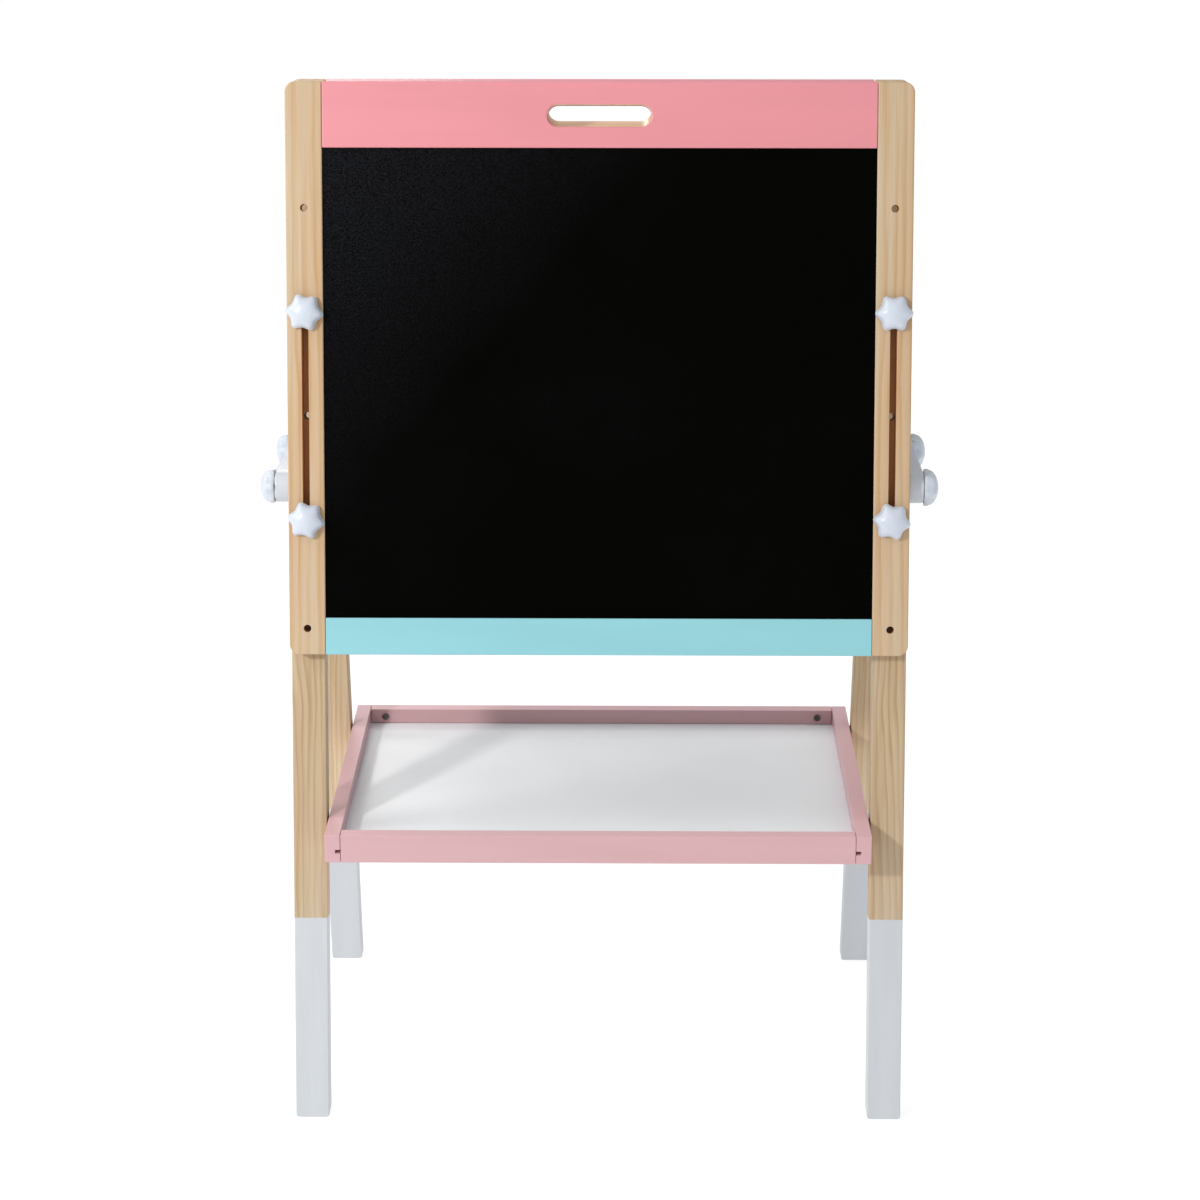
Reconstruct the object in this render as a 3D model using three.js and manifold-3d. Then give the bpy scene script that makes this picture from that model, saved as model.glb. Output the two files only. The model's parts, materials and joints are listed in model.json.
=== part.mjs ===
// A child's double-sided easel: two leaning pairs of legs, a board bolted to each pair,
// two side links that carry the fold, and a tray bolted between the legs.
// Millimetres, +Z up, +X to the right of a child at the chalkboard, which faces -Y.
import * as THREE from 'three';
import { mergeVertices } from 'three/addons/utils/BufferGeometryUtils.js';
import Module from 'manifold-3d';

const wasm = await Module();
wasm.setup();

// Stance
const LEAN = THREE.MathUtils.degToRad(11.2);
const FOOT_Y = 203;
const HALF_WIDTH = 300;
const GAP = 0.3;

// Legs
const LEG_W = 33;
const LEG_T = 24;
const LEG_TOP = 862;
const LEG_TOP_R = 9;
const FOOT_R = 3;

// Boards
const BOARD_H = 550;
const BOARD_FOOT = 466;
const REAR_BOARD_DROP = 4;
const STILE_W = 35;
const FRAME_T = 18;
const STILE_R = 10;
const GROOVE_END = 8;
const TOP_RAIL_H = 62.5;
const BOTTOM_RAIL_H = 36;
const PANEL_T = 4;
const PANEL_RECESS = 3;
const GROOVE_DEPTH = 7;
const TENON_INSET = 9;
const HANDLE_LENGTH = 100;
const HANDLE_HEIGHT = 21;
const HANDLE_Z = 518;

// The slot and end holes of a stile, and the bolt holes of a leg along the board
const BOLT_X = 282.5;
const HOLE_PITCH = 100;
const MID_HOLE_Z = 231;
const END_HOLES_Z = [25.5, 430.5];
const STILE_HOLE_R = 3.6;
const SLOT_W = 6.6;
const SLOT_LENGTH = 226;
const LEG_HOLE_R = 3.6;

// Star knobs and their studs
const KNOB_R = 16.3;
const LOBES = 6;
const LOBE_WAVE = 1.65;
const LOBE_POINT = 0.35;
const KNOB_H = 14.6;
const KNOB_STEPS = 36;
const BOARD_KNOB_TURN = 0.12;
const LINK_KNOB_TURN = 0.2;
const STUD_R = 2.9;
const STUD_OVERLAP = 5;
const BOARD_STUD = 46;
const LINK_STUD = 27;

// Tee nuts in the legs for the board studs, inserts for the link studs
const NUT_FLANGE_R = 9;
const NUT_FLANGE_T = 1.4;
const NUT_BARREL_R = 4.4;
const NUT_BARREL = 9;
const THREAD_R = 3.2;
const INSERT_R = 5;
const INSERT_LENGTH = 13;
const INSERT_SINK = 1;
const HOLE_ALLOWANCE = 2;

// Side links
const LINK_S = 628;
const LINK_T = 15;
const LINK_R = 15.5;
const LINK_RIM = 4;
const LINK_POCKET = 2;
const LINK_HOLE_R = 3.3;

// Tray
const TRAY_TOP = 296;
const TRAY_HALF_X = 265.2;
const TRAY_HALF_Y = 190;
const RAIL_W = 15;
const RAIL_H = 28.5;
const FLOOR_TOP = 15.8;
const FLOOR_T = 3;
const FLOOR_GROOVE = 5;
const TRAY_BOLT_Z = 285;
const BOLT_R = 3;
const BOLT_HEAD_R = 6.5;
const BOLT_HEAD_T = 3.4;
const BOLT_SINK = 4;
const BOLT_IN_RAIL = 11;
const SOCKET_R = 2.4;
const SOCKET_DEPTH = 1.8;
const WASHER_R = 8;
const WASHER_T = 0.9;
const SCREW_X = 234;
const SCREW_HEAD_R = 3.7;
const SCREW_HEAD_T = 2.2;
const SCREW_R = 1.8;
const SCREW_LENGTH = 12.5;
const SCREW_Z = 8.2;

const finish = (color, roughness, metalness = 0) => () => {
  return new THREE.MeshStandardMaterial({ color, roughness, metalness });
};
const pine = finish('#dec09b', 0.55);
const pineLeg = finish('#cab291', 0.55);
const pinkPaint = finish('#ee9eaa', 0.5);
const tealPaint = finish('#92d8e0', 0.5);
const trayPink = finish('#e1b4be', 0.5);
const chalkboard = finish('#26282b', 0.85);
const whiteboard = finish('#f2f3f1', 0.2);
const trayFloor = finish('#ece9e4', 0.4);
const whitePlastic = finish('#f0f0ee', 0.4);
const zincSteel = finish('#a9abad', 0.35, 0.9);
const darkSteel = finish('#3c3b3a', 0.45, 0.8);

// Solids

// A welded copy for joining and cutting, without the slivers that welding leaves.
function toManifold(geometry) {
  geometry.deleteAttribute('uv');
  geometry.deleteAttribute('normal');
  const welded = mergeVertices(geometry, 1e-4);
  const corners = welded.index.array;
  const kept = [];
  for (let i = 0; i < corners.length; i += 3) {
    const [a, b, c] = corners.slice(i, i + 3);
    if (a !== b && b !== c && c !== a) {
      kept.push(a, b, c);
    }
  }
  return new wasm.Manifold(new wasm.Mesh({
    numProp: 3,
    vertProperties: new Float32Array(welded.attributes.position.array),
    triVerts: new Uint32Array(kept),
  }));
}

function toGeometry(manifold) {
  const mesh = manifold.getMesh();
  const geometry = new THREE.BufferGeometry();
  geometry.setAttribute('position', new THREE.BufferAttribute(mesh.vertProperties, 3));
  geometry.setIndex(new THREE.BufferAttribute(mesh.triVerts, 1));
  geometry.computeVertexNormals();
  return geometry;
}

function combine(base, added, removed) {
  let result = toManifold(base);
  for (const geometry of added) {
    result = result.add(toManifold(geometry));
  }
  for (const geometry of removed) {
    result = result.subtract(toManifold(geometry));
  }
  return toGeometry(result);
}

function mesh(name, geometry, material) {
  const piece = new THREE.Mesh(geometry, material());
  piece.name = name;
  return piece;
}

function box(size, centre) {
  return new THREE.BoxGeometry(...size).translate(...centre);
}

// A rod along the axis named, from the middle of its length.
function rod(radius, length, axis, centre, sides = 24) {
  const geometry = new THREE.CylinderGeometry(radius, radius, length, sides);
  if (axis === 'x') {
    geometry.rotateZ(Math.PI / 2);
  }
  if (axis === 'z') {
    geometry.rotateX(Math.PI / 2);
  }
  return geometry.translate(...centre);
}

// A flat plate: an outline in X and Z, with its thickness from y = 0 to y = thickness.
function plate(shape, thickness) {
  const options = { depth: thickness, bevelEnabled: false, curveSegments: 10 };
  return new THREE.ExtrudeGeometry(shape, options).rotateX(Math.PI / 2).translate(0, thickness, 0);
}

// A rectangle whose corners have their own radii: lower left, lower right, upper right, upper left.
function roundedShape(x0, x1, z0, z1, radii) {
  const corners = [[x0, z0, 1, 1], [x1, z0, -1, 1], [x1, z1, -1, -1], [x0, z1, 1, -1]];
  const shape = new THREE.Shape();
  corners.forEach(([x, z, inX, inZ], i) => {
    const r = radii[i];
    const start = Math.PI * (1 + i / 2);
    const arcX = x + r * (inX + Math.cos(start));
    const arcZ = z + r * (inZ + Math.sin(start));
    if (i === 0) {
      shape.moveTo(arcX, arcZ);
    } else {
      shape.lineTo(arcX, arcZ);
    }
    if (r > 0) {
      shape.absarc(x + inX * r, z + inZ * r, r, start, start + Math.PI / 2, false);
    }
  });
  shape.closePath();
  return shape;
}

function roundHole(x, z, radius) {
  const hole = new THREE.Path();
  hole.absarc(x, z, radius, 0, Math.PI * 2, true);
  return hole;
}

// A slot with round ends, long in Z, or in X when lying.
function slotHole(x, z, length, width, lying = false) {
  const r = width / 2;
  const reach = length / 2 - r;
  const hole = new THREE.Path();
  if (lying) {
    hole.absarc(x - reach, z, r, Math.PI / 2, Math.PI * 1.5, false);
    hole.absarc(x + reach, z, r, -Math.PI / 2, Math.PI / 2, false);
  } else {
    hole.absarc(x, z - reach, r, Math.PI, Math.PI * 2, false);
    hole.absarc(x, z + reach, r, 0, Math.PI, false);
  }
  hole.closePath();
  return hole;
}

// A closed ring turned about Y from its section, given as [radius, height] corners.
function turned(corners, sides = 28) {
  const points = [...corners, corners[0]].map(([r, h]) => new THREE.Vector2(r, h));
  return new THREE.LatheGeometry(points, sides);
}

// Boards. A board's own frame has y = 0 on its face, z = 0 along its lower edge.

function stile(name, sign) {
  const outer = sign * HALF_WIDTH;
  const inner = sign * (HALF_WIDTH - STILE_W);
  const radii = sign < 0 ? [STILE_R, 0, 0, STILE_R] : [0, STILE_R, STILE_R, 0];
  const shape = roundedShape(Math.min(outer, inner), Math.max(outer, inner), 0, BOARD_H, radii);
  const x = sign * BOLT_X;
  shape.holes.push(slotHole(x, MID_HOLE_Z, SLOT_LENGTH, SLOT_W));
  for (const z of END_HOLES_Z) {
    shape.holes.push(roundHole(x, z, STILE_HOLE_R));
  }
  const reach = BOARD_H - 2 * GROOVE_END;
  const groove = box(
    [2 * GROOVE_DEPTH, PANEL_T + 2 * GAP, reach],
    [inner, PANEL_RECESS + PANEL_T / 2, BOARD_H / 2],
  );
  return mesh(name, combine(plate(shape, FRAME_T), [], [groove]), pine);
}

// A rail between the stiles, with a stub tenon at each end in the stiles' grooves.
function rail(name, z0, height, grooveZ, material, handle) {
  const half = HALF_WIDTH - STILE_W - GAP;
  const shape = roundedShape(-half, half, z0, z0 + height, [0, 0, 0, 0]);
  if (handle) {
    shape.holes.push(slotHole(0, HANDLE_Z, HANDLE_LENGTH, HANDLE_HEIGHT, true));
  }
  const y = PANEL_RECESS + PANEL_T / 2;
  const tenonSize = [2 * (GROOVE_DEPTH - GAP), PANEL_T, height - 2 * TENON_INSET];
  const tenons = [-half, half].map((x) => box(tenonSize, [x, y, z0 + height / 2]));
  const groove = box([2 * HALF_WIDTH, PANEL_T + 2 * GAP, 2 * GROOVE_DEPTH], [0, y, grooveZ]);
  return mesh(name, combine(plate(shape, FRAME_T), tenons, [groove]), material);
}

function panel(name, material) {
  const width = 2 * (HALF_WIDTH - STILE_W + GROOVE_DEPTH - 2 * GAP);
  const lower = BOTTOM_RAIL_H - GROOVE_DEPTH + GAP;
  const upper = BOARD_H - TOP_RAIL_H + GROOVE_DEPTH - GAP;
  const centre = [0, PANEL_RECESS + PANEL_T / 2, (lower + upper) / 2];
  return mesh(name, box([width, PANEL_T, upper - lower], centre), material);
}

function board(side, hand, panelName, panelMaterial) {
  const group = new THREE.Group();
  group.add(stile(`${side}_board_${hand(-1)}_stile`, -1));
  group.add(stile(`${side}_board_${hand(1)}_stile`, 1));
  const topZ = BOARD_H - TOP_RAIL_H;
  group.add(rail(`${side}_board_top_rail`, topZ, TOP_RAIL_H, topZ, pinkPaint, true));
  group.add(rail(`${side}_board_bottom_rail`, 0, BOTTOM_RAIL_H, BOTTOM_RAIL_H, tealPaint, false));
  group.add(panel(panelName, panelMaterial));
  return group;
}

// Legs. A leg's own frame has y = 0 on its outer face, z along the lean from the floor.

// Tilts the end of a plate so that it lies on the floor once the leg leans.
function cutToFloor(geometry) {
  const position = geometry.attributes.position;
  for (let i = 0; i < position.count; i++) {
    if (position.getZ(i) < FOOT_R + 1) {
      position.setZ(i, position.getZ(i) + position.getY(i) * Math.tan(LEAN));
    }
  }
  return geometry;
}

// Where a level line at this height crosses the middle of a leg, along the lean.
function alongLeg(height) {
  return height / Math.cos(LEAN) + (LEG_T / 2) * Math.tan(LEAN);
}

function leg(name, sign) {
  const outer = sign * HALF_WIDTH;
  const inner = sign * (HALF_WIDTH - LEG_W);
  const radii = [FOOT_R, FOOT_R, LEG_TOP_R, LEG_TOP_R];
  const shape = roundedShape(Math.min(outer, inner), Math.max(outer, inner), 0, LEG_TOP, radii);
  const body = cutToFloor(plate(shape, LEG_T));
  const x = sign * BOLT_X;
  const midZ = BOARD_FOOT + MID_HOLE_Z;
  const removed = [];
  for (const step of [-1, 0, 1]) {
    removed.push(rod(LEG_HOLE_R, 2 * LEG_T, 'y', [x, LEG_T / 2, midZ + step * HOLE_PITCH]));
  }
  for (const step of [-1, 1]) {
    const z = midZ + step * HOLE_PITCH;
    const depth = NUT_BARREL + HOLE_ALLOWANCE;
    removed.push(rod(NUT_BARREL_R + GAP, 2 * depth, 'y', [x, LEG_T, z]));
  }
  const insertDepth = INSERT_SINK + INSERT_LENGTH + HOLE_ALLOWANCE;
  removed.push(rod(INSERT_R + GAP, 2 * insertDepth, 'x', [outer, LEG_T / 2, LINK_S]));
  const boltAt = [outer, LEG_T / 2, alongLeg(TRAY_BOLT_Z)];
  removed.push(rod(LEG_HOLE_R, 4 * LEG_W, 'x', boltAt));
  removed.push(rod(BOLT_HEAD_R + GAP, 2 * BOLT_SINK, 'x', boltAt));
  return mesh(name, combine(body, [], removed), pineLeg);
}

// Hardware

// A star knob standing on z = 0 with its stud below. Its lobes are narrower than the valleys.
function knob(name, studLength, turn) {
  const profile = [[0.9, 0], [0.97, 0.8], [1, 2.4], [1, 9], [0.96, 11.2], [0.86, 12.8], [0.5, 14.2]];
  const positions = [];
  for (const [scale, height] of profile) {
    for (let i = 0; i < KNOB_STEPS; i++) {
      const angle = (i / KNOB_STEPS) * Math.PI * 2;
      const phase = LOBES * (angle - turn);
      const wave = LOBE_WAVE * Math.cos(phase) + LOBE_POINT * Math.cos(2 * phase);
      const radius = (KNOB_R + wave) * scale;
      positions.push(radius * Math.cos(angle), radius * Math.sin(angle), height);
    }
  }
  const bottom = profile.length * KNOB_STEPS;
  positions.push(0, 0, 0, 0, 0, KNOB_H);
  const indices = [];
  for (let i = 0; i < KNOB_STEPS; i++) {
    const next = (i + 1) % KNOB_STEPS;
    indices.push(bottom, next, i);
    for (let ring = 0; ring < profile.length - 1; ring++) {
      const a = ring * KNOB_STEPS;
      const b = a + KNOB_STEPS;
      indices.push(a + i, a + next, b + next, a + i, b + next, b + i);
    }
    const last = (profile.length - 1) * KNOB_STEPS;
    indices.push(last + i, last + next, bottom + 1);
  }
  const head = new THREE.BufferGeometry();
  head.setAttribute('position', new THREE.Float32BufferAttribute(positions, 3));
  head.setIndex(indices);
  const studMiddle = (STUD_OVERLAP - studLength) / 2;
  const stud = rod(STUD_R, studLength + STUD_OVERLAP, 'z', [0, 0, studMiddle]);
  return mesh(name, combine(head, [stud], []), whitePlastic);
}

// A tee nut with its flange on y = 0 and its barrel towards -Y.
function teeNut(name) {
  const section = [
    [THREAD_R, -NUT_BARREL],
    [NUT_BARREL_R, -NUT_BARREL],
    [NUT_BARREL_R, 0],
    [NUT_FLANGE_R, 0],
    [NUT_FLANGE_R, NUT_FLANGE_T],
    [THREAD_R, NUT_FLANGE_T],
  ];
  return mesh(name, turned(section), zincSteel);
}

function ring(name, outerR, innerR, length, material) {
  const section = [
    [innerR, -length / 2],
    [outerR, -length / 2],
    [outerR, length / 2],
    [innerR, length / 2],
  ];
  return mesh(name, turned(section).rotateZ(Math.PI / 2), material);
}

// A bolt along X: its head sunk in the outside of a leg, its shank towards the middle.
function trayBolt(name, sign, shankEnd) {
  const headAt = HALF_WIDTH - BOLT_SINK + GAP;
  const shank = headAt - shankEnd;
  const head = rod(BOLT_HEAD_R, BOLT_HEAD_T, 'x', [sign * (headAt + BOLT_HEAD_T / 2), 0, 0]);
  const body = rod(BOLT_R, shank + 1, 'x', [sign * (shankEnd + (shank + 1) / 2), 0, 0]);
  const socket = rod(SOCKET_R, 2 * SOCKET_DEPTH, 'x', [sign * (headAt + BOLT_HEAD_T), 0, 0], 6);
  return mesh(name, combine(head, [body], [socket]), darkSteel);
}

function sideOfEasel(side, turn, panelName, panelMaterial, drop) {
  const hand = (sign) => (sign * Math.cos(turn) < 0 ? 'left' : 'right');
  const facing = new THREE.Group();
  facing.rotation.z = turn;
  const lean = new THREE.Group();
  lean.position.y = -FOOT_Y;
  lean.rotation.x = -LEAN;
  facing.add(lean);

  const boardGroup = board(side, hand, panelName, panelMaterial);
  boardGroup.position.set(0, -FRAME_T - GAP, BOARD_FOOT - drop);
  lean.add(boardGroup);

  for (const sign of [-1, 1]) {
    lean.add(leg(`${side}_${hand(sign)}_leg`, sign));
    for (const [level, step] of [['lower', -1], ['upper', 1]]) {
      const z = BOARD_FOOT + MID_HOLE_Z + step * HOLE_PITCH;
      const knobTurn = sign * step * BOARD_KNOB_TURN;
      const star = knob(`${side}_${level}_${hand(sign)}_board_knob`, BOARD_STUD, knobTurn);
      star.position.set(sign * BOLT_X, -FRAME_T - 2 * GAP, z);
      star.rotation.x = Math.PI / 2;
      lean.add(star);
      const nut = teeNut(`${side}_${level}_${hand(sign)}_tee_nut`);
      nut.position.set(sign * BOLT_X, LEG_T + GAP, z);
      lean.add(nut);
    }
    const linkKnob = knob(`${side}_${hand(sign)}_link_knob`, LINK_STUD, LINK_KNOB_TURN);
    linkKnob.position.set(sign * (HALF_WIDTH + LINK_T + 2 * GAP), LEG_T / 2, LINK_S);
    linkKnob.rotation.y = (sign * Math.PI) / 2;
    lean.add(linkKnob);
    const insert = ring(`${side}_${hand(sign)}_link_insert`, INSERT_R, THREAD_R, INSERT_LENGTH, zincSteel);
    insert.position.set(sign * (HALF_WIDTH - INSERT_SINK - INSERT_LENGTH / 2), LEG_T / 2, LINK_S);
    lean.add(insert);
    const shankEnd = side === 'front' ? TRAY_HALF_X - BOLT_IN_RAIL : TRAY_HALF_X + 2 * GAP;
    const bolt = trayBolt(`${side}_${hand(sign)}_tray_bolt`, sign, shankEnd);
    bolt.position.set(0, LEG_T / 2, alongLeg(TRAY_BOLT_Z));
    lean.add(bolt);
    const washer = ring(`${side}_${hand(sign)}_tray_washer`, WASHER_R, BOLT_R + GAP, WASHER_T, darkSteel);
    washer.position.set(sign * (TRAY_HALF_X + 2 * GAP + WASHER_T / 2), LEG_T / 2, alongLeg(TRAY_BOLT_Z));
    lean.add(washer);
  }
  return facing;
}

// Side links, tray

// The middle line of a front leg, at this distance up the lean, in the easel's own Y and Z.
function legCentre(along) {
  const depth = LEG_T / 2;
  const y = depth * Math.cos(LEAN) + along * Math.sin(LEAN) - FOOT_Y;
  const z = along * Math.cos(LEAN) - depth * Math.sin(LEAN);
  return { y, z };
}

// A round-ended bar between the two link knobs, with a shallow pocket in its outer face.
function link(name, sign) {
  const pivot = legCentre(LINK_S);
  const reach = Math.abs(pivot.y);
  const bar = new THREE.Shape();
  bar.absarc(-reach, 0, LINK_R, Math.PI / 2, Math.PI * 1.5, false);
  bar.absarc(reach, 0, LINK_R, -Math.PI / 2, Math.PI / 2, false);
  bar.closePath();
  bar.holes.push(roundHole(-reach, 0, LINK_HOLE_R), roundHole(reach, 0, LINK_HOLE_R));
  const between = 2 * (reach - LINK_R - LINK_RIM);
  const pocket = box([between, 2 * LINK_POCKET, 2 * (LINK_R - LINK_RIM)], [0, 0, 0]);
  const piece = mesh(name, combine(plate(bar, LINK_T), [], [pocket]), whitePlastic);
  piece.rotation.z = (sign * Math.PI) / 2;
  piece.position.set(sign * (HALF_WIDTH + GAP + LINK_T), 0, pivot.z);
  return piece;
}

// The tray's own frame has z = 0 on top of its rails.

function floorGroove(size, centre) {
  const [x, y] = centre;
  return box([size[0], size[1], FLOOR_T + 2 * GAP], [x, y, -FLOOR_TOP - FLOOR_T / 2]);
}

function traySideRail(name, sign) {
  const x = sign * (TRAY_HALF_X - RAIL_W / 2);
  const body = box([RAIL_W, 2 * TRAY_HALF_Y, RAIL_H], [x, 0, -RAIL_H / 2]);
  const inner = sign * (TRAY_HALF_X - RAIL_W);
  const groove = floorGroove([2 * FLOOR_GROOVE, 3 * TRAY_HALF_Y], [inner, 0]);
  const bolt = legCentre(alongLeg(TRAY_BOLT_Z));
  const depth = BOLT_IN_RAIL + 1;
  const holes = [-1, 1].map((end) => {
    const centre = [sign * TRAY_HALF_X, end * Math.abs(bolt.y), TRAY_BOLT_Z - TRAY_TOP];
    return rod(BOLT_R + GAP, 2 * depth, 'x', centre);
  });
  return mesh(name, combine(body, [], [groove, ...holes]), trayPink);
}

function trayEndRail(name, sign, screws) {
  const half = TRAY_HALF_X - RAIL_W - GAP;
  const y = sign * (TRAY_HALF_Y - RAIL_W / 2);
  const body = box([2 * half, RAIL_W, RAIL_H], [0, y, -RAIL_H / 2]);
  const inner = sign * (TRAY_HALF_Y - RAIL_W);
  const removed = [floorGroove([3 * half, 2 * FLOOR_GROOVE], [0, inner])];
  for (const x of screws) {
    removed.push(rod(SCREW_R + GAP, 2 * RAIL_W, 'y', [x, inner, -SCREW_Z]));
  }
  return mesh(name, combine(body, [], removed), trayPink);
}

// A pan-headed screw along Y, its head on the inner face of the rear rail.
function trayScrew(name, x) {
  const face = TRAY_HALF_Y - RAIL_W - GAP;
  const head = turned([
    [0, 0],
    [SCREW_HEAD_R, 0],
    [SCREW_HEAD_R, SCREW_HEAD_T * 0.5],
    [SCREW_HEAD_R * 0.6, SCREW_HEAD_T],
    [0, SCREW_HEAD_T],
  ]).rotateX(Math.PI);
  const shank = rod(SCREW_R, SCREW_LENGTH + 1, 'y', [0, SCREW_LENGTH / 2 - 0.5, 0], 16);
  const piece = mesh(name, combine(head, [shank], []), darkSteel);
  piece.position.set(x, face, -SCREW_Z);
  return piece;
}

function tray() {
  const group = new THREE.Group();
  group.add(traySideRail('tray_left_rail', -1));
  group.add(traySideRail('tray_right_rail', 1));
  group.add(trayEndRail('tray_front_rail', -1, []));
  group.add(trayEndRail('tray_rear_rail', 1, [-SCREW_X, SCREW_X]));
  group.add(trayScrew('tray_left_screw', -SCREW_X));
  group.add(trayScrew('tray_right_screw', SCREW_X));
  const reach = FLOOR_GROOVE - 2 * GAP - RAIL_W;
  const size = [2 * (TRAY_HALF_X + reach), 2 * (TRAY_HALF_Y + reach), FLOOR_T];
  group.add(mesh('tray_floor_panel', box(size, [0, 0, -FLOOR_TOP - FLOOR_T / 2]), trayFloor));
  group.position.z = TRAY_TOP;
  return group;
}

const easel = new THREE.Group();
easel.name = 'easel';
easel.add(sideOfEasel('front', 0, 'front_chalkboard_panel', chalkboard, 0));
easel.add(sideOfEasel('rear', Math.PI, 'rear_whiteboard_panel', whiteboard, REAR_BOARD_DROP));
easel.add(link('left_link', -1), link('right_link', 1));
easel.add(tray());

export default easel;
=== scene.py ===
import json
import math
import bmesh
import bpy
from mathutils import Matrix, Vector
from mathutils.geometry import tessellate_polygon

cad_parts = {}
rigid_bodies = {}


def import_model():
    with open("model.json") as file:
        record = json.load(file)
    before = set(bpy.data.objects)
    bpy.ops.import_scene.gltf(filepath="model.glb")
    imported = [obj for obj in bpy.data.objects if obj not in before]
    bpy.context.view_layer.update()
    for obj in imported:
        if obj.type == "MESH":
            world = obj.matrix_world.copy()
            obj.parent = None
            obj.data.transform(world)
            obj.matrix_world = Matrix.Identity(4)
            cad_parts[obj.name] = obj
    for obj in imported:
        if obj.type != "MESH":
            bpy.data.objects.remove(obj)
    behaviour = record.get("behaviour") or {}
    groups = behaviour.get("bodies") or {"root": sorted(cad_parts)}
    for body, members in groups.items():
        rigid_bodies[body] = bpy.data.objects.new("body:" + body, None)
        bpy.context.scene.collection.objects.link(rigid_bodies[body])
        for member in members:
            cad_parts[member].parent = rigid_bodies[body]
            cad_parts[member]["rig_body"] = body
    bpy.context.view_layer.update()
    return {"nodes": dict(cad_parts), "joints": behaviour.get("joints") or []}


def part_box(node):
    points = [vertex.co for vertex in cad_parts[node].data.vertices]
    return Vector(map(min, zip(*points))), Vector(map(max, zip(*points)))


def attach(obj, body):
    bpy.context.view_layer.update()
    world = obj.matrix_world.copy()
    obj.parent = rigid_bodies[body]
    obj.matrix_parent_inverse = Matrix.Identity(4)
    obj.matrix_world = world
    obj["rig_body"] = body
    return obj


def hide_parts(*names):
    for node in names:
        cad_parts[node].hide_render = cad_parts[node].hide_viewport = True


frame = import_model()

MM = 0.001
SIDES = {"front": -1, "rear": 1}      # the sign of the Y that each side faces
HANDS = {"left": -1, "right": 1}      # the sign of the X of each hand
JOINTS = {joint["name"]: joint for joint in frame["joints"]}

# The lean of the legs, read from the way a board slides.
slide = Vector(JOINTS["front_board_height"]["axis"]).normalized()
LEAN = math.atan2(slide.y, slide.z)


def centre_of(node):
    low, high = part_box(node)
    return (low + high) / 2


# ---------------------------------------------------------------- materials

class Graph:
    """A new material's node tree, with one short call for each kind of node used here."""

    def __init__(self, name):
        self.material = bpy.data.materials.new(name)
        self.material.use_nodes = True
        self.tree = self.material.node_tree
        self.shader = self.tree.nodes["Principled BSDF"]

    def add(self, kind, values=(), **settings):
        node = self.tree.nodes.new(kind)
        for key, value in settings.items():
            setattr(node, key, value)
        for key, value in dict(values).items():
            self.feed(node.inputs[key], value)
        return node

    def feed(self, socket, value):
        if isinstance(value, bpy.types.NodeSocket):
            self.tree.links.new(value, socket)
        else:
            socket.default_value = value

    def set(self, **values):
        for key, value in values.items():
            self.feed(self.shader.inputs[key.replace("_", " ")], value)

    def place(self, origin=(0, 0, 0), turn=(0, 0, 0)):
        """Coordinates measured from origin in a turned frame, the same at every pose."""
        coordinates = self.add("ShaderNodeTexCoord").outputs["Object"]
        values = {"Vector": coordinates, "Location": origin, "Rotation": turn}
        return self.add("ShaderNodeMapping", values, vector_type="TEXTURE").outputs[0]

    def stretch(self, vector, scale):
        values = {"Vector": vector, "Scale": scale}
        return self.add("ShaderNodeMapping", values).outputs[0]

    def maths(self, operation, a, b=0.0, c=0.0, clamp=False):
        node = self.add("ShaderNodeMath", operation=operation, use_clamp=clamp)
        for socket, value in zip(node.inputs, (a, b, c)):
            self.feed(socket, value)
        return node.outputs[0]

    def noise(self, vector, scale, detail=3.0, roughness=0.5, distortion=0.0):
        values = {"Vector": vector, "Scale": scale, "Detail": detail,
                  "Roughness": roughness, "Distortion": distortion}
        return self.add("ShaderNodeTexNoise", values).outputs["Fac"]

    def ramp(self, factor, stops, ease="LINEAR"):
        node = self.add("ShaderNodeValToRGB", {"Fac": factor})
        node.color_ramp.interpolation = ease
        elements = node.color_ramp.elements
        while len(elements) < len(stops):
            elements.new(0.5)
        for element, (position, colour) in zip(elements, stops):
            element.position = position
            element.color = colour
        return node.outputs["Color"]

    def spread(self, factor, low, high, to_low=0.0, to_high=1.0):
        """Maps low to high onto to_low to to_high, and holds the ends."""
        values = {"Value": factor, "From Min": low, "From Max": high,
                  "To Min": to_low, "To Max": to_high}
        return self.add("ShaderNodeMapRange", values).outputs[0]

    def mix(self, factor, a, b, blend="MIX"):
        node = self.add("ShaderNodeMix", data_type="RGBA", blend_type=blend)
        for socket, value in zip((node.inputs[0], node.inputs[6], node.inputs[7]), (factor, a, b)):
            self.feed(socket, value)
        return node.outputs[2]

    def bump(self, height, strength, distance):
        values = {"Height": height, "Strength": strength, "Distance": distance}
        self.set(Normal=self.add("ShaderNodeBump", values).outputs[0])

    def parts(self, vector):
        """The X, Y and Z of a vector, by name."""
        return self.add("ShaderNodeSeparateXYZ", {"Vector": vector}).outputs

    def size(self, value):
        return self.maths("ABSOLUTE", value)

    def all_of(self, first, second, third):
        """1 where three masks are all 1, and 0 elsewhere."""
        return self.maths("MULTIPLY", self.maths("MULTIPLY", first, second), third)

    def facing(self, direction):
        """The cosine between the surface's own normal and a direction fixed in the piece."""
        normal = self.add("ShaderNodeTexCoord").outputs["Normal"]
        node = self.add("ShaderNodeVectorMath", operation="DOT_PRODUCT")
        self.feed(node.inputs[0], normal)
        self.feed(node.inputs[1], direction)
        return node.outputs["Value"]


def colour(red, green, blue):
    """A linear colour from the 0 to 255 values of a screen colour."""
    def linear(value):
        part = value / 255
        return part / 12.92 if part <= 0.04045 else ((part + 0.055) / 1.055) ** 2.4
    return (linear(red), linear(green), linear(blue), 1.0)


def grey(value):
    return (value, value, value, 1.0)


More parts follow.
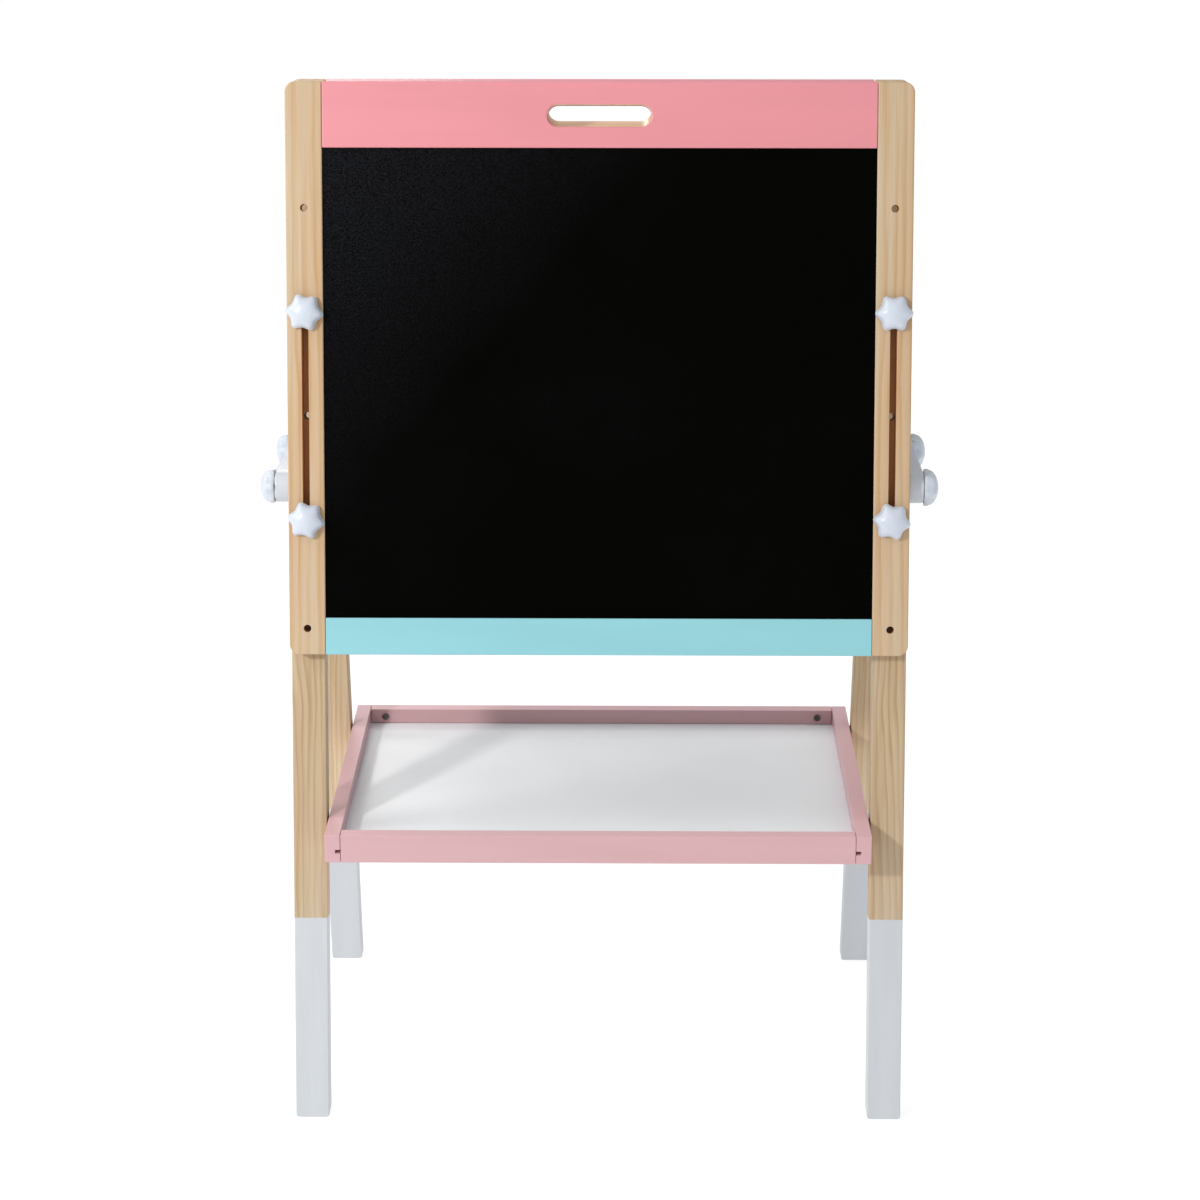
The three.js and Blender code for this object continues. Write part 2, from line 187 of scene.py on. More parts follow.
def shade(tone, factor):
    return tuple(min(1.0, part * factor) for part in tone[:3]) + (1.0,)


SLOT_REACH = 6 * MM      # how far the slot's walls can be from the middle of a stile
SLOT_SPAN = 120 * MM     # half the length of the strip of a leg that a slot shows
HANDLE_REACH = 55 * MM   # half the length of the bare part round a handle slot
RAIL_EDGE = 12 * MM      # how far the paint on a rail's long edges reaches round
DIP_LINE = 202.5 * MM    # how far up the leg the white paint reaches

# Painted shade: a warm brown for the walls of each stile's slot and holes, and for the strip of leg
# seen through the slot.
SLOT_SHADE_BROWN = colour(198, 144, 96)
PINE_EARLY = colour(200, 183, 157)
PINE_LATE = colour(184, 143, 92)
PINE_BLUSH = colour(206, 174, 141)
LEG_EARLY = colour(204, 188, 165)
LEG_LATE = colour(166, 135, 98)
LEG_BLUSH = colour(196, 171, 135)
PAINT_WHITE = colour(198, 202, 206)
PINK = colour(222, 140, 148)
TEAL = colour(140, 200, 208)
TRAY_PINK = colour(208, 166, 170)
LAMINATE_WHITE = colour(244, 244, 246)
LAMINATE_GREY = colour(238, 238, 241)
PLASTIC_WHITE = colour(203, 210, 221)
PLASTIC_GREY = colour(197, 204, 215)
CHALKBOARD_BLACK = colour(6, 6, 5)
# The colour of the chalk haze, and also of the painted sheen near the upper left corner.
CHALK_AND_SHEEN = colour(36, 37, 42)
WHITEBOARD_CLEAN = colour(240, 241, 240)
WHITEBOARD_WIPED = colour(226, 229, 232)

STILE_TONES = (PINE_EARLY, PINE_LATE, PINE_BLUSH)
# Painted light: the stile pine made 1.6 times lighter, for the bare walls of a handle slot.
LIT_PINE_TONES = tuple(shade(tone, 1.6) for tone in STILE_TONES)
LEG_TONES = {
    "front": (LEG_EARLY, LEG_LATE, LEG_BLUSH),
    # Painted light: the rear legs use the same pine made 1.18 times lighter.
    "rear": tuple(shade(tone, 1.18) for tone in (LEG_EARLY, LEG_LATE, LEG_BLUSH)),
}

# Where the middle of the tree lay for each leaning piece, in metres across it, and its drift.
STILE_CUTS = {
    ("front", "left"): ((0.055, 0.03), 0.006),
    ("front", "right"): ((-0.06, 0.02), -0.008),
    ("rear", "left"): ((0.05, -0.03), 0.01),
    ("rear", "right"): ((-0.045, -0.05), 0.004),
}
LEG_CUTS = {
    ("front", "left"): ((0.05, 0.04), 0.02),
    ("front", "right"): ((-0.055, 0.035), -0.02),
    ("rear", "left"): ((0.04, -0.04), 0.02),
    ("rear", "right"): ((-0.05, -0.03), -0.02),
}
RAIL_CUT = ((0.004, 0.09), 0.01)

# The width of a year's ring and how far it wanders, in metres.
STILE_YEARS = (0.0085, 0.02)
LEG_YEARS = (0.0048, 0.026)
RAIL_YEARS = (0.004, 0.01)
YEAR_STOPS = [
    (0.0, grey(0.05)), (0.5, grey(0.1)), (0.78, grey(0.75)), (0.88, grey(0.9)), (1.0, grey(0.05)),
]


def growth_rings(g, place, cut, years):
    """How dark the year rings are at a point, from its distance to the middle of the tree.

    place has Z along the grain. A cut is where the tree's middle lies across the grain, and how far
    it drifts away for each metre of length, which opens the rings into long arches.
    """
    pith, tilt = cut
    spacing, wobble = years
    parts = g.parts(place)
    across = g.maths("SUBTRACT", parts["X"], pith[0])
    drift = g.maths("MULTIPLY_ADD", parts["Z"], tilt, -pith[1])
    depth = g.maths("ADD", parts["Y"], drift)
    across_2 = g.maths("MULTIPLY", across, across)
    radius = g.maths("SQRT", g.maths("MULTIPLY_ADD", depth, depth, across_2))
    slow = g.noise(g.stretch(place, (14, 14, 3.2)), 1.0, detail=2.0)
    fine = g.noise(g.stretch(place, (70, 70, 9)), 1.0, detail=2.0)
    bent = g.maths("MULTIPLY_ADD", g.maths("SUBTRACT", slow, 0.5), wobble, radius)
    bent = g.maths("MULTIPLY_ADD", g.maths("SUBTRACT", fine, 0.5), wobble * 0.22, bent)
    year = g.maths("FRACT", g.maths("DIVIDE", bent, spacing))
    return g.ramp(year, YEAR_STOPS, "B_SPLINE")


def pine_colour(g, place, tones, cut, years):
    """Bare pine, the height of its grain for a bump, and its fibres."""
    early, late, blush = tones
    rings = growth_rings(g, place, cut, years)
    streaks = g.noise(g.stretch(place, (160, 160, 3.0)), 1.0, detail=4.0, roughness=0.65)
    fibres = g.noise(g.stretch(place, (900, 900, 14)), 1.0, detail=3.0, roughness=0.6)
    patches = g.noise(g.stretch(place, (22, 22, 2.4)), 1.0, detail=2.0)
    base = g.mix(g.spread(patches, 0.35, 0.68, 0.0, 0.75), early, blush)
    fade = g.noise(g.stretch(place, (45, 45, 3.5)), 1.0, detail=2.0)
    wood = g.mix(g.maths("MULTIPLY", rings, g.spread(fade, 0.32, 0.68, 0.2, 1.0)), base, late)
    wood = g.mix(g.spread(streaks, 0.4, 0.72, 0.0, 0.4), wood, late)
    wood = g.mix(g.spread(fibres, 0.3, 0.75, 0.0, 0.16), wood, shade(late, 0.8), "MULTIPLY")
    height = g.maths("MULTIPLY_ADD", rings, -0.35, g.maths("MULTIPLY", fibres, 0.6))
    return wood, height, fibres


def along_leg(side):
    """The turn that lays Z along a leaning leg or stile of this side."""
    return (LEAN * SIDES[side], 0.0, 0.0)


def face_normal(side):
    """The direction that the face of this side's board points in."""
    return Vector((0, SIDES[side] * math.cos(LEAN), math.sin(LEAN)))


def up_the_lean(side):
    return Vector((0, -SIDES[side] * math.sin(LEAN), math.cos(LEAN)))


# The turns that lay Z along a level piece.
ALONG_X = (0.0, math.pi / 2, 0.0)
ALONG_Y = (math.pi / 2, 0.0, 0.0)


def slot_walls(g, node, side):
    """1 on the walls of the slot and holes along the middle of a stile, where painted shade goes,
    and 0 elsewhere.
    """
    across_mid = g.parts(g.place(centre_of(node)))["X"]
    return g.all_of(
        g.maths("LESS_THAN", g.size(g.facing(face_normal(side))), 0.5),
        g.maths("LESS_THAN", g.size(g.facing(up_the_lean(side))), 0.8),
        g.maths("LESS_THAN", g.size(across_mid), SLOT_REACH),
    )


def behind_slot(g, node, side):
    """1 on the strip of a leg's outer face that shows through its board's slot, where painted shade
    goes, and 0 elsewhere.
    """
    hand = node.split("_")[1]
    lower, upper = (Vector(JOINTS[f"{side}_{level}_{hand}_board_knob_turn"]["pos_m"])
                    for level in ("lower", "upper"))
    from_slot = g.parts(g.place((lower + upper) / 2, along_leg(side)))
    return g.all_of(
        g.maths("GREATER_THAN", g.facing(face_normal(side)), 0.9),
        g.maths("LESS_THAN", g.size(from_slot["X"]), SLOT_REACH),
        g.maths("LESS_THAN", g.size(from_slot["Z"]), SLOT_SPAN),
    )


def stile_pine(name, node, side, cut):
    g = Graph(name)
    place = g.place(centre_of(node), along_leg(side))
    wood, height, fibres = pine_colour(g, place, STILE_TONES, cut, STILE_YEARS)
    # Painted shade on the walls of the slot and holes.
    g.set(Base_Color=g.mix(slot_walls(g, node, side), wood, SLOT_SHADE_BROWN))
    g.set(Roughness=g.spread(fibres, 0.2, 0.8, 0.5, 0.64), Specular_IOR_Level=0.15)
    g.bump(height, 0.25, 0.4 * MM)
    return g.material


def dipped_leg(name, node, side, cut):
    """Pine with white paint up to the dip line."""
    g = Graph(name)
    place = g.place(centre_of(node), along_leg(side))
    wood, height, fibres = pine_colour(g, place, LEG_TONES[side], cut, LEG_YEARS)
    # Painted shade on the strip of leg that shows through the slot.
    wood = g.mix(behind_slot(g, node, side), wood, SLOT_SHADE_BROWN)
    low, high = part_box(node)
    foot = Vector((0, high.y if side == "rear" else low.y, 0))
    up = g.parts(g.place(foot, along_leg(side)))["Z"]
    uneven = g.noise(g.place(), 420.0, detail=2.0)
    line = g.maths("MULTIPLY_ADD", uneven, 1.2 * MM, up)
    painted = g.maths("LESS_THAN", line, DIP_LINE)
    mottle = g.noise(g.stretch(place, (60, 60, 8)), 1.0)
    white = g.mix(g.spread(mottle, 0.35, 0.7), PAINT_WHITE, shade(PAINT_WHITE, 0.95))
    bare = g.spread(fibres, 0.2, 0.8, 0.5, 0.66)
    g.set(Base_Color=g.mix(painted, wood, white))
    g.set(Roughness=g.maths("MULTIPLY_ADD", painted, -0.06, bare))
    g.set(Specular_IOR_Level=g.maths("MULTIPLY_ADD", painted, 0.2, 0.12))
    g.bump(g.maths("ADD", height, g.maths("MULTIPLY", painted, 0.55)), 0.3, 0.4 * MM)
    return g.material


def gloss_paint(g, peel_scale, rough, grain, grain_depth):
    """The sheen of sprayed paint, with a little of the grain showing through."""
    peel = g.noise(g.place(), peel_scale, detail=2.0)
    g.set(Roughness=g.spread(peel, 0.3, 0.7, 0.36, rough), Coat_Weight=0.1, Coat_Roughness=0.25)
    relief = g.maths("MULTIPLY_ADD", peel, 0.5, g.maths("MULTIPLY", grain, grain_depth))
    g.bump(relief, 0.22, 0.3 * MM)


def painted_rail(name, node, side, tone):
    """A painted rail. The walls of its slot, if it has one, are bare pine, with painted light that
    makes them lighter than the stiles' pine.
    """
    g = Graph(name)
    place = g.place(centre_of(node), ALONG_X)
    # The bare pine here is the lighter copy, as painted light.
    wood, height, _ = pine_colour(g, place, LIT_PINE_TONES, RAIL_CUT, RAIL_YEARS)
    ragged = g.maths("MULTIPLY", g.noise(g.place(), 700.0), 0.12)
    flatness = g.maths("ADD", g.size(g.facing(face_normal(side))), ragged)
    on_face = g.maths("GREATER_THAN", flatness, 0.5)
    from_middle = g.parts(g.place(centre_of(node)))
    low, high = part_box(node)
    beyond = g.maths("GREATER_THAN", g.size(from_middle["X"]), HANDLE_REACH)
    from_edge = (high.z - low.z) / 2 - RAIL_EDGE
    rim = g.maths("GREATER_THAN", g.size(from_middle["Z"]), from_edge)
    painted = g.maths("MAXIMUM", on_face, g.maths("MAXIMUM", beyond, rim))
    drift = g.noise(g.stretch(place, (30, 30, 4)), 1.0)
    film = g.mix(g.spread(drift, 0.3, 0.7), tone, shade(tone, 0.93))
    ghost = g.mix(g.spread(height, 0.0, 0.6, 0.0, 0.07), film, shade(tone, 0.75))
    g.set(Base_Color=g.mix(painted, wood, ghost))
    gloss_paint(g, 520.0, 0.48, height, 0.5)
    return g.material


def tray_paint(name, node, turn, tone):
    """Paint with a painted highlight: its upward faces are painted 1.2 times lighter, where light
    falls on them.
    """
    g = Graph(name)
    place = g.place(centre_of(node), turn)
    grain = g.noise(g.stretch(place, (700, 700, 10)), 1.0)
    drift = g.noise(g.stretch(place, (40, 40, 5)), 1.0)
    film = g.mix(g.spread(drift, 0.3, 0.7), tone, shade(tone, 0.94))
    grained = g.mix(g.spread(grain, 0.35, 0.75, 0.0, 0.06), film, shade(tone, 0.7))
    lit_top = g.spread(g.facing((0, 0, 1)), 0.6, 0.9)
    # Painted light: the upward faces are made lighter.
    g.set(Base_Color=g.mix(lit_top, grained, shade(tone, 1.2)))
    gloss_paint(g, 560.0, 0.5, grain, 0.4)
    return g.material


def chalkboard():
    """Matt black, with fine grit, a faint haze of chalk, and a painted sheen near the upper left
    corner in place of the lamp's reflection.
    """
    g = Graph("chalkboard_coating")
    place = g.place()
    low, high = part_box("front_chalkboard_panel")
    from_corner = g.parts(g.place((low.x, low.y, high.z)))
    reach = g.maths("MULTIPLY_ADD", from_corner["Z"], -0.9, from_corner["X"])
    near = g.spread(reach, 0.0, 0.34, 1.0, 0.0)
    grit = g.noise(place, 760.0, roughness=0.8)
    cloud = g.noise(place, 5.0, detail=4.0, roughness=0.55)
    wipes = g.noise(g.stretch(place, (3.0, 8.0, 22.0)), 1.0, detail=4.0, distortion=0.6)
    # Painted sheen: a glow added near the upper left corner, in place of the lamp's reflection, on
    # top of the chalk haze.
    corner_sheen = g.maths("MULTIPLY", near, 0.6)
    haze = g.maths("MULTIPLY_ADD", g.spread(cloud, 0.45, 0.8, 0.0, 0.12), wipes, corner_sheen)
    specks = g.spread(grit, 0.42, 0.62, 0.1, 1.6)
    specked_haze = g.maths("MULTIPLY", haze, specks, clamp=True)
    g.set(Base_Color=g.mix(specked_haze, CHALKBOARD_BLACK, CHALK_AND_SHEEN))
    g.set(Roughness=g.spread(grit, 0.3, 0.7, 0.55, 0.75), Specular_IOR_Level=0.0)
    g.bump(grit, 0.5, 0.25 * MM)
    return g.material


def whiteboard():
    g = Graph("whiteboard_coating")
    wipes = g.noise(g.stretch(g.place(), (4.0, 10.0, 30.0)), 1.0, detail=4.0, distortion=0.8)
    wiped = g.spread(wipes, 0.5, 0.8, 0.0, 0.5)
    g.set(Base_Color=g.mix(wiped, WHITEBOARD_CLEAN, WHITEBOARD_WIPED))
    g.set(Roughness=g.spread(wipes, 0.3, 0.8, 0.12, 0.26), Coat_Weight=0.5, Coat_Roughness=0.08)
    g.bump(g.noise(g.place(), 60.0, detail=1.0), 0.05, 0.3 * MM)
    return g.material


def laminate():
    g = Graph("white_laminate")
    place = g.place()
    pores = g.noise(place, 900.0, detail=2.0)
    cloud = g.noise(place, 7.0)
    g.set(Base_Color=g.mix(g.spread(cloud, 0.35, 0.7), LAMINATE_WHITE, LAMINATE_GREY))
    g.set(Roughness=g.spread(pores, 0.3, 0.7, 0.3, 0.46))
    g.bump(pores, 0.18, 0.15 * MM)
    return g.material


def white_plastic():
    g = Graph("white_moulded_plastic")
    place = g.place()
    spark = g.noise(place, 1500.0, detail=1.0)
    cloud = g.noise(place, 60.0)
    g.set(Base_Color=g.mix(g.spread(cloud, 0.3, 0.7), PLASTIC_WHITE, PLASTIC_GREY))
    g.set(Roughness=g.spread(spark, 0.3, 0.7, 0.27, 0.4))
    g.set(Subsurface_Weight=0.12, Subsurface_Radius=(0.002, 0.0018, 0.0016), Subsurface_Scale=0.6)
    g.bump(spark, 0.12, 0.1 * MM)
    return g.material


def plated_steel(name, bright, dull, low, high):
    g = Graph(name)
    place = g.place()
    scratches = g.noise(place, 800.0, detail=3.0, roughness=0.7)
    stains = g.noise(place, 130.0, detail=3.0)
    g.set(Base_Color=g.mix(g.spread(stains, 0.3, 0.7), bright, dull), Metallic=1.0)
    g.set(Roughness=g.spread(scratches, 0.3, 0.7, low, high))
    g.bump(scratches, 0.15, 0.1 * MM)
    return g.material


# ---------------------------------------------------------------- shaping tools

def scene_object(name, data):
    holder = bpy.data.objects.new(name, data)
    bpy.context.scene.collection.objects.link(holder)
    return holder


def arc(x, z, radius, start, sweep, steps):
    """Points along an arc, each with the direction from the arc's middle: (x, z, to x, to z)."""
    points = []
    for step in range(steps + 1):
        angle = start + sweep * step / steps
        along, up = math.cos(angle), math.sin(angle)
        points.append((x + radius * along, z + radius * up, along, up))
    return points


CORNER_STEPS = 8
HOLE_STEPS = 40
UPRIGHT_END_STEPS = 16
LYING_END_STEPS = 20
EDGE_STEPS = 4


def rectangle(x0, x1, z0, z1, radii):
    """An outline with rounded corners: lower left, lower right, upper right, upper left."""
    corners = [(x0, z0, 1, 1), (x1, z0, -1, 1), (x1, z1, -1, -1), (x0, z1, 1, -1)]
    points = []
    for number, (x, z, in_x, in_z) in enumerate(corners):
        radius = radii[number]
        start = math.pi * (1 + number / 2)
        middle_x, middle_z = x + in_x * radius, z + in_z * radius
        points += arc(middle_x, middle_z, radius, start, math.pi / 2, CORNER_STEPS)
    return points


def round_hole(x, z, radius):
    return arc(x, z, radius, 0, 2 * math.pi, HOLE_STEPS)[:-1]


def slot(x, z, length, width, lying=False):
    radius = width / 2
    reach = length / 2 - radius
    if lying:
        right = arc(x + reach, z, radius, -math.pi / 2, math.pi, LYING_END_STEPS)
        return right + arc(x - reach, z, radius, math.pi / 2, math.pi, LYING_END_STEPS)
    upper = arc(x, z + reach, radius, 0, math.pi, UPRIGHT_END_STEPS)
    return upper + arc(x, z - reach, radius, math.pi, math.pi, UPRIGHT_END_STEPS)


def slab(name, outline, holes, thickness, edge, hole_edge):
    """A plate with rounded edges: its outline in X and Z, its face on y = 0, its back behind."""
    vertices, faces, rims = [], [], []
    for points, side, radius in [(outline, 1, edge)] + [(hole, -1, hole_edge) for hole in holes]:
        profile = []
        for step in range(EDGE_STEPS + 1):
            angle = math.pi / 2 * step / EDGE_STEPS
            profile.append((radius * (1 - math.sin(angle)), radius * (1 - math.cos(angle))))
        profile += [(inset, thickness - depth) for inset, depth in reversed(profile)]
        first = len(vertices)
        for inset, depth in profile:
            for x, z, to_x, to_z in points:
                vertices.append(Vector((x - side * to_x * inset, depth, z - side * to_z * inset)))
        count = len(points)
        for ring in range(len(profile) - 1):
            a = first + ring * count
            b = a + count
            for step in range(count):
                following = (step + 1) % count
                faces.append((a + step, b + step, b + following, a + following))
        rims.append((list(range(first, first + count)), list(range(a + count, a + 2 * count))))
    for end in (0, 1):
        loops = [rim[end] for rim in rims]
        numbers = [number for loop in loops for number in loop]
        flat = [[Vector((vertices[i].x, vertices[i].z, 0)) for i in loop] for loop in loops]
        for triangle in tessellate_polygon(flat):
            faces.append(tuple(numbers[corner] for corner in triangle))
    mesh = bpy.data.meshes.new(name)
    mesh.from_pydata(vertices, [], faces)
    return scene_object(name, outward(mesh))


def outward(mesh):
    """Turns every face of a closed mesh outwards."""
    work = bmesh.new()
    work.from_mesh(mesh)
    bmesh.ops.recalc_face_normals(work, faces=work.faces)
    work.to_mesh(mesh)
    work.free()
    return mesh


def block(name, low, high):
    low, high = Vector(low), Vector(high)
    work = bmesh.new()
    bmesh.ops.create_cube(work, size=1.0)
    for vertex in work.verts:
        vertex.co = (low + high) / 2 + vertex.co * (high - low)
    mesh = bpy.data.meshes.new(name)
    work.to_mesh(mesh)
    work.free()
    return scene_object(name, mesh)


def peg(name, radius, low, high):
    """A round bar between two points."""
    low, high = Vector(low), Vector(high)
    turn = (high - low).to_track_quat("Z", "Y").to_matrix().to_4x4()
    work = bmesh.new()
    bmesh.ops.create_cone(work, cap_ends=True, segments=HOLE_STEPS, radius1=radius, radius2=radius,
                          depth=(high - low).length,
                          matrix=Matrix.Translation((low + high) / 2) @ turn)
    mesh = bpy.data.meshes.new(name)
    work.to_mesh(mesh)
    work.free()
    return scene_object(name, mesh)


def carve(piece, operation, tools):
    """Cuts tools away from a piece, or joins them to it, and removes them."""
    for tool in tools:
        modifier = piece.modifiers.new("carve", "BOOLEAN")
        modifier.operation = operation
        modifier.solver = "MANIFOLD"
        modifier.object = tool
    graph = bpy.context.evaluated_depsgraph_get()
    mesh = bpy.data.meshes.new_from_object(piece.evaluated_get(graph))
    piece.modifiers.clear()
    piece.data = mesh
    mesh.name = piece.name
    for tool in tools:
        bpy.data.objects.remove(tool)


def smooth_flats(piece, sharp):
    """Smooth shading that keeps flat faces flat, with a crease where they meet at a sharp angle."""
    piece.data.shade_smooth()
    piece.data.set_sharp_from_angle(angle=math.radians(sharp))
    weigh = piece.modifiers.new("flat_shading", "WEIGHTED_NORMAL")
    weigh.keep_sharp = True
    weigh.weight = 100


def body_of(node):
    return frame["nodes"][node]["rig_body"]


def stand_in(piece, node, body, material):
    """Puts a piece on its body in place of a CAD node, with its material."""
    piece.data.materials.clear()
    piece.data.materials.append(material)
    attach(piece, body)
    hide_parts(node)


# ---------------------------------------------------------------- boards and legs

GAP = 0.3 * MM
STILE_W = 35 * MM
FRAME_T = 18 * MM
BOARD_H = 550 * MM
STILE_CORNER = 10 * MM
TIGHT_CORNER = 1.6 * MM
STILE_EDGE = 1.4 * MM
RAIL_CORNER = 1.2 * MM
RAIL_FACE_EDGE = 0.9 * MM
HANDLE_EDGE = 1.2 * MM
LEG_EDGE = 1.2 * MM
HOLE_EDGE = 0.5 * MM
CREASE = 60              # the sharpest turn, in degrees, that is shaded smooth on the wood
GROOVE_END = 8 * MM
TOP_RAIL_H = 62.5 * MM
PANEL_T = 4 * MM
PANEL_RECESS = 3 * MM
GROOVE_DEPTH = 7 * MM
TENON_INSET = 9 * MM
HANDLE_LENGTH = 100 * MM
HANDLE_HEIGHT = 21 * MM
HANDLE_Z = 518 * MM
MID_HOLE_Z = 231 * MM
STILE_HOLES = (25.5 * MM, 430.5 * MM)
HOLE_R = 3.6 * MM
SLOT_W = 6.6 * MM
SLOT_LENGTH = 226 * MM
LEG_W = 33 * MM
LEG_T = 24 * MM
LEG_TOP = 862 * MM
LEG_CORNERS = (3 * MM, 3 * MM, 9 * MM, 9 * MM)
HOLE_PITCH = 100 * MM
NUT_HOLE = (4.7 * MM, 11 * MM)       # radius and depth of each blind hole in a leg
INSERT_HOLE = (5.3 * MM, 16 * MM)
BOLT_SEAT = (6.8 * MM, 4 * MM)

HALF_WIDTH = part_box("front_right_leg")[1].x
BOLT_X = abs(Vector(JOINTS["front_lower_right_board_knob_turn"]["pos_m"]).x)


def lean_frame(side):
    """A leaning part's place: x to the right, y into the easel, z up the lean from the floor."""
    leg_low, leg_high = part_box(f"{side}_left_leg")
    foot = max(abs(leg_low.y), abs(leg_high.y))
    facing = Matrix.Rotation(0 if side == "front" else math.pi, 4, "Z")
    return facing @ Matrix.Translation((0, -foot, 0)) @ Matrix.Rotation(-LEAN, 4, "X")


def board_foot(side):
    """How far up the lean a board's lower edge is."""
    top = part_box(f"{side}_board_top_rail")[1].z
    return (top - (FRAME_T + GAP) * math.sin(LEAN)) / math.cos(LEAN) - BOARD_H


def board_place(side):
    return lean_frame(side) @ Matrix.Translation((0, -FRAME_T - GAP, board_foot(side)))


def hand_sign(side, hand):
    """The sign of a hand's X in the frame of its own side."""
    return HANDS[hand] * (1 if side == "front" else -1)


def across(sign, width):
    """The two X of an upright of this width at the easel's side."""
    outer = sign * HALF_WIDTH
    inner = sign * (HALF_WIDTH - width)
    return min(outer, inner), max(outer, inner)


def make_stile(side, hand):
    node = f"{side}_board_{hand}_stile"
    sign = hand_sign(side, hand)
    left, right = (STILE_CORNER, TIGHT_CORNER) if sign < 0 else (TIGHT_CORNER, STILE_CORNER)
    x = sign * BOLT_X
    holes = [slot(x, MID_HOLE_Z, SLOT_LENGTH, SLOT_W)]
    holes += [round_hole(x, z, HOLE_R) for z in STILE_HOLES]
    x0, x1 = across(sign, STILE_W)
    outline = rectangle(x0, x1, 0, BOARD_H, (left, right, right, left))
    piece = slab(f"{node}_wood", outline, holes, FRAME_T, STILE_EDGE, HOLE_EDGE)
    inner = sign * (HALF_WIDTH - STILE_W)
    groove = block("groove",
                   (inner - GROOVE_DEPTH, PANEL_RECESS - GAP, GROOVE_END),
                   (inner + GROOVE_DEPTH, PANEL_RECESS + PANEL_T + GAP, BOARD_H - GROOVE_END))
    carve(piece, "DIFFERENCE", [groove])
    piece.data.transform(board_place(side))
    smooth_flats(piece, CREASE)
    material = stile_pine(f"{node}_pine", node, side, STILE_CUTS[side, hand])
    stand_in(piece, node, f"{side}_board", material)


def make_top_rail(side):
    node = f"{side}_board_top_rail"
    half = HALF_WIDTH - STILE_W - GAP
    z0 = BOARD_H - TOP_RAIL_H
    handle = slot(0, HANDLE_Z, HANDLE_LENGTH, HANDLE_HEIGHT, lying=True)
    outline = rectangle(-half, half, z0, BOARD_H, (RAIL_CORNER,) * 4)
    piece = slab(f"{node}_wood", outline, [handle], FRAME_T, RAIL_FACE_EDGE, HANDLE_EDGE)
    upper, lower = BOARD_H - TENON_INSET, z0 + TENON_INSET
    reach = GROOVE_DEPTH - GAP
    tenons = [
        block("tenon", (x - reach, PANEL_RECESS, lower), (x + reach, PANEL_RECESS + PANEL_T, upper))
        for x in (-half, half)
    ]
    carve(piece, "UNION", tenons)
    groove = block("groove", (-HALF_WIDTH, PANEL_RECESS - GAP, z0 - GROOVE_DEPTH),
                   (HALF_WIDTH, PANEL_RECESS + PANEL_T + GAP, z0 + GROOVE_DEPTH))
    carve(piece, "DIFFERENCE", [groove])
    piece.data.transform(board_place(side))
    smooth_flats(piece, CREASE)
    material = painted_rail(f"{node}_paint", node, side, PINK)
    stand_in(piece, node, f"{side}_board", material)


def make_leg(side, hand):
    node = f"{side}_{hand}_leg"
    sign = hand_sign(side, hand)
    x = sign * BOLT_X
    middle = board_foot("front") + MID_HOLE_Z
    holes = [round_hole(x, middle + step * HOLE_PITCH, HOLE_R) for step in (-1, 0, 1)]
    x0, x1 = across(sign, LEG_W)
    outline = rectangle(x0, x1, 0, LEG_TOP, LEG_CORNERS)
    piece = slab(f"{node}_wood", outline, holes, LEG_T, LEG_EDGE, HOLE_EDGE)
    # The foot is cut level, to stand flat on the floor.
    for vertex in piece.data.vertices:
        if vertex.co.z < 2 * LEG_CORNERS[0]:
            vertex.co.z += vertex.co.y * math.tan(LEAN)
    back = lean_frame(side).inverted()
    link_pin = back @ Vector(JOINTS[f"{side}_{hand}_link_knob_turn"]["pos_m"])
    bolt = back @ centre_of(f"{side}_{hand}_tray_bolt")
    outer = sign * HALF_WIDTH

    def side_hole(radius, z, outward, inward):
        return peg("hole", radius, (outer + sign * outward, LEG_T / 2, z),
                   (outer - sign * inward, LEG_T / 2, z))

    radius, depth = NUT_HOLE
    tools = [peg("hole", radius, (x, LEG_T - depth, middle + step * HOLE_PITCH),
                 (x, LEG_T + depth, middle + step * HOLE_PITCH)) for step in (-1, 1)]
    radius, depth = INSERT_HOLE
    tools.append(side_hole(radius, link_pin.z, depth, depth))
    tools.append(side_hole(HOLE_R, bolt.z, LEG_W, 2 * LEG_W))
    radius, depth = BOLT_SEAT
    tools.append(side_hole(radius, bolt.z, depth, depth))
    carve(piece, "DIFFERENCE", tools)
    piece.data.transform(lean_frame(side))
    smooth_flats(piece, CREASE)
    material = dipped_leg(f"{node}_pine", node, side, LEG_CUTS[side, hand])
    stand_in(piece, node, f"{side}_legs", material)


for side in SIDES:
    for hand in HANDS:
        make_stile(side, hand)
        make_leg(side, hand)
    make_top_rail(side)


# ---------------------------------------------------------------- pieces kept from the CAD

WELD_DISTANCE = 0.02 * MM
PAINT_EDGE = 0.9 * MM
TRAY_EDGE = 0.8 * MM
THIN_EDGE = 0.3 * MM
LINK_EDGE = 1.8 * MM


def dress(node, material, width, segments=3):
    """Gives a CAD solid its material and rounded edges, and keeps its own mesh."""
    piece = bpy.data.objects[node]
    weld = piece.modifiers.new("weld", "WELD")
    weld.merge_threshold = WELD_DISTANCE
    flat = piece.modifiers.new("flat_faces", "DECIMATE")
    flat.decimate_type = "DISSOLVE"
    flat.angle_limit = math.radians(1)
    edge = piece.modifiers.new("edges", "BEVEL")
    edge.width = width
    edge.segments = segments
    edge.limit_method = "ANGLE"
    edge.angle_limit = math.radians(40)
    edge.use_clamp_overlap = False
    edge.harden_normals = True
    piece.data.materials.clear()
    piece.data.materials.append(material)


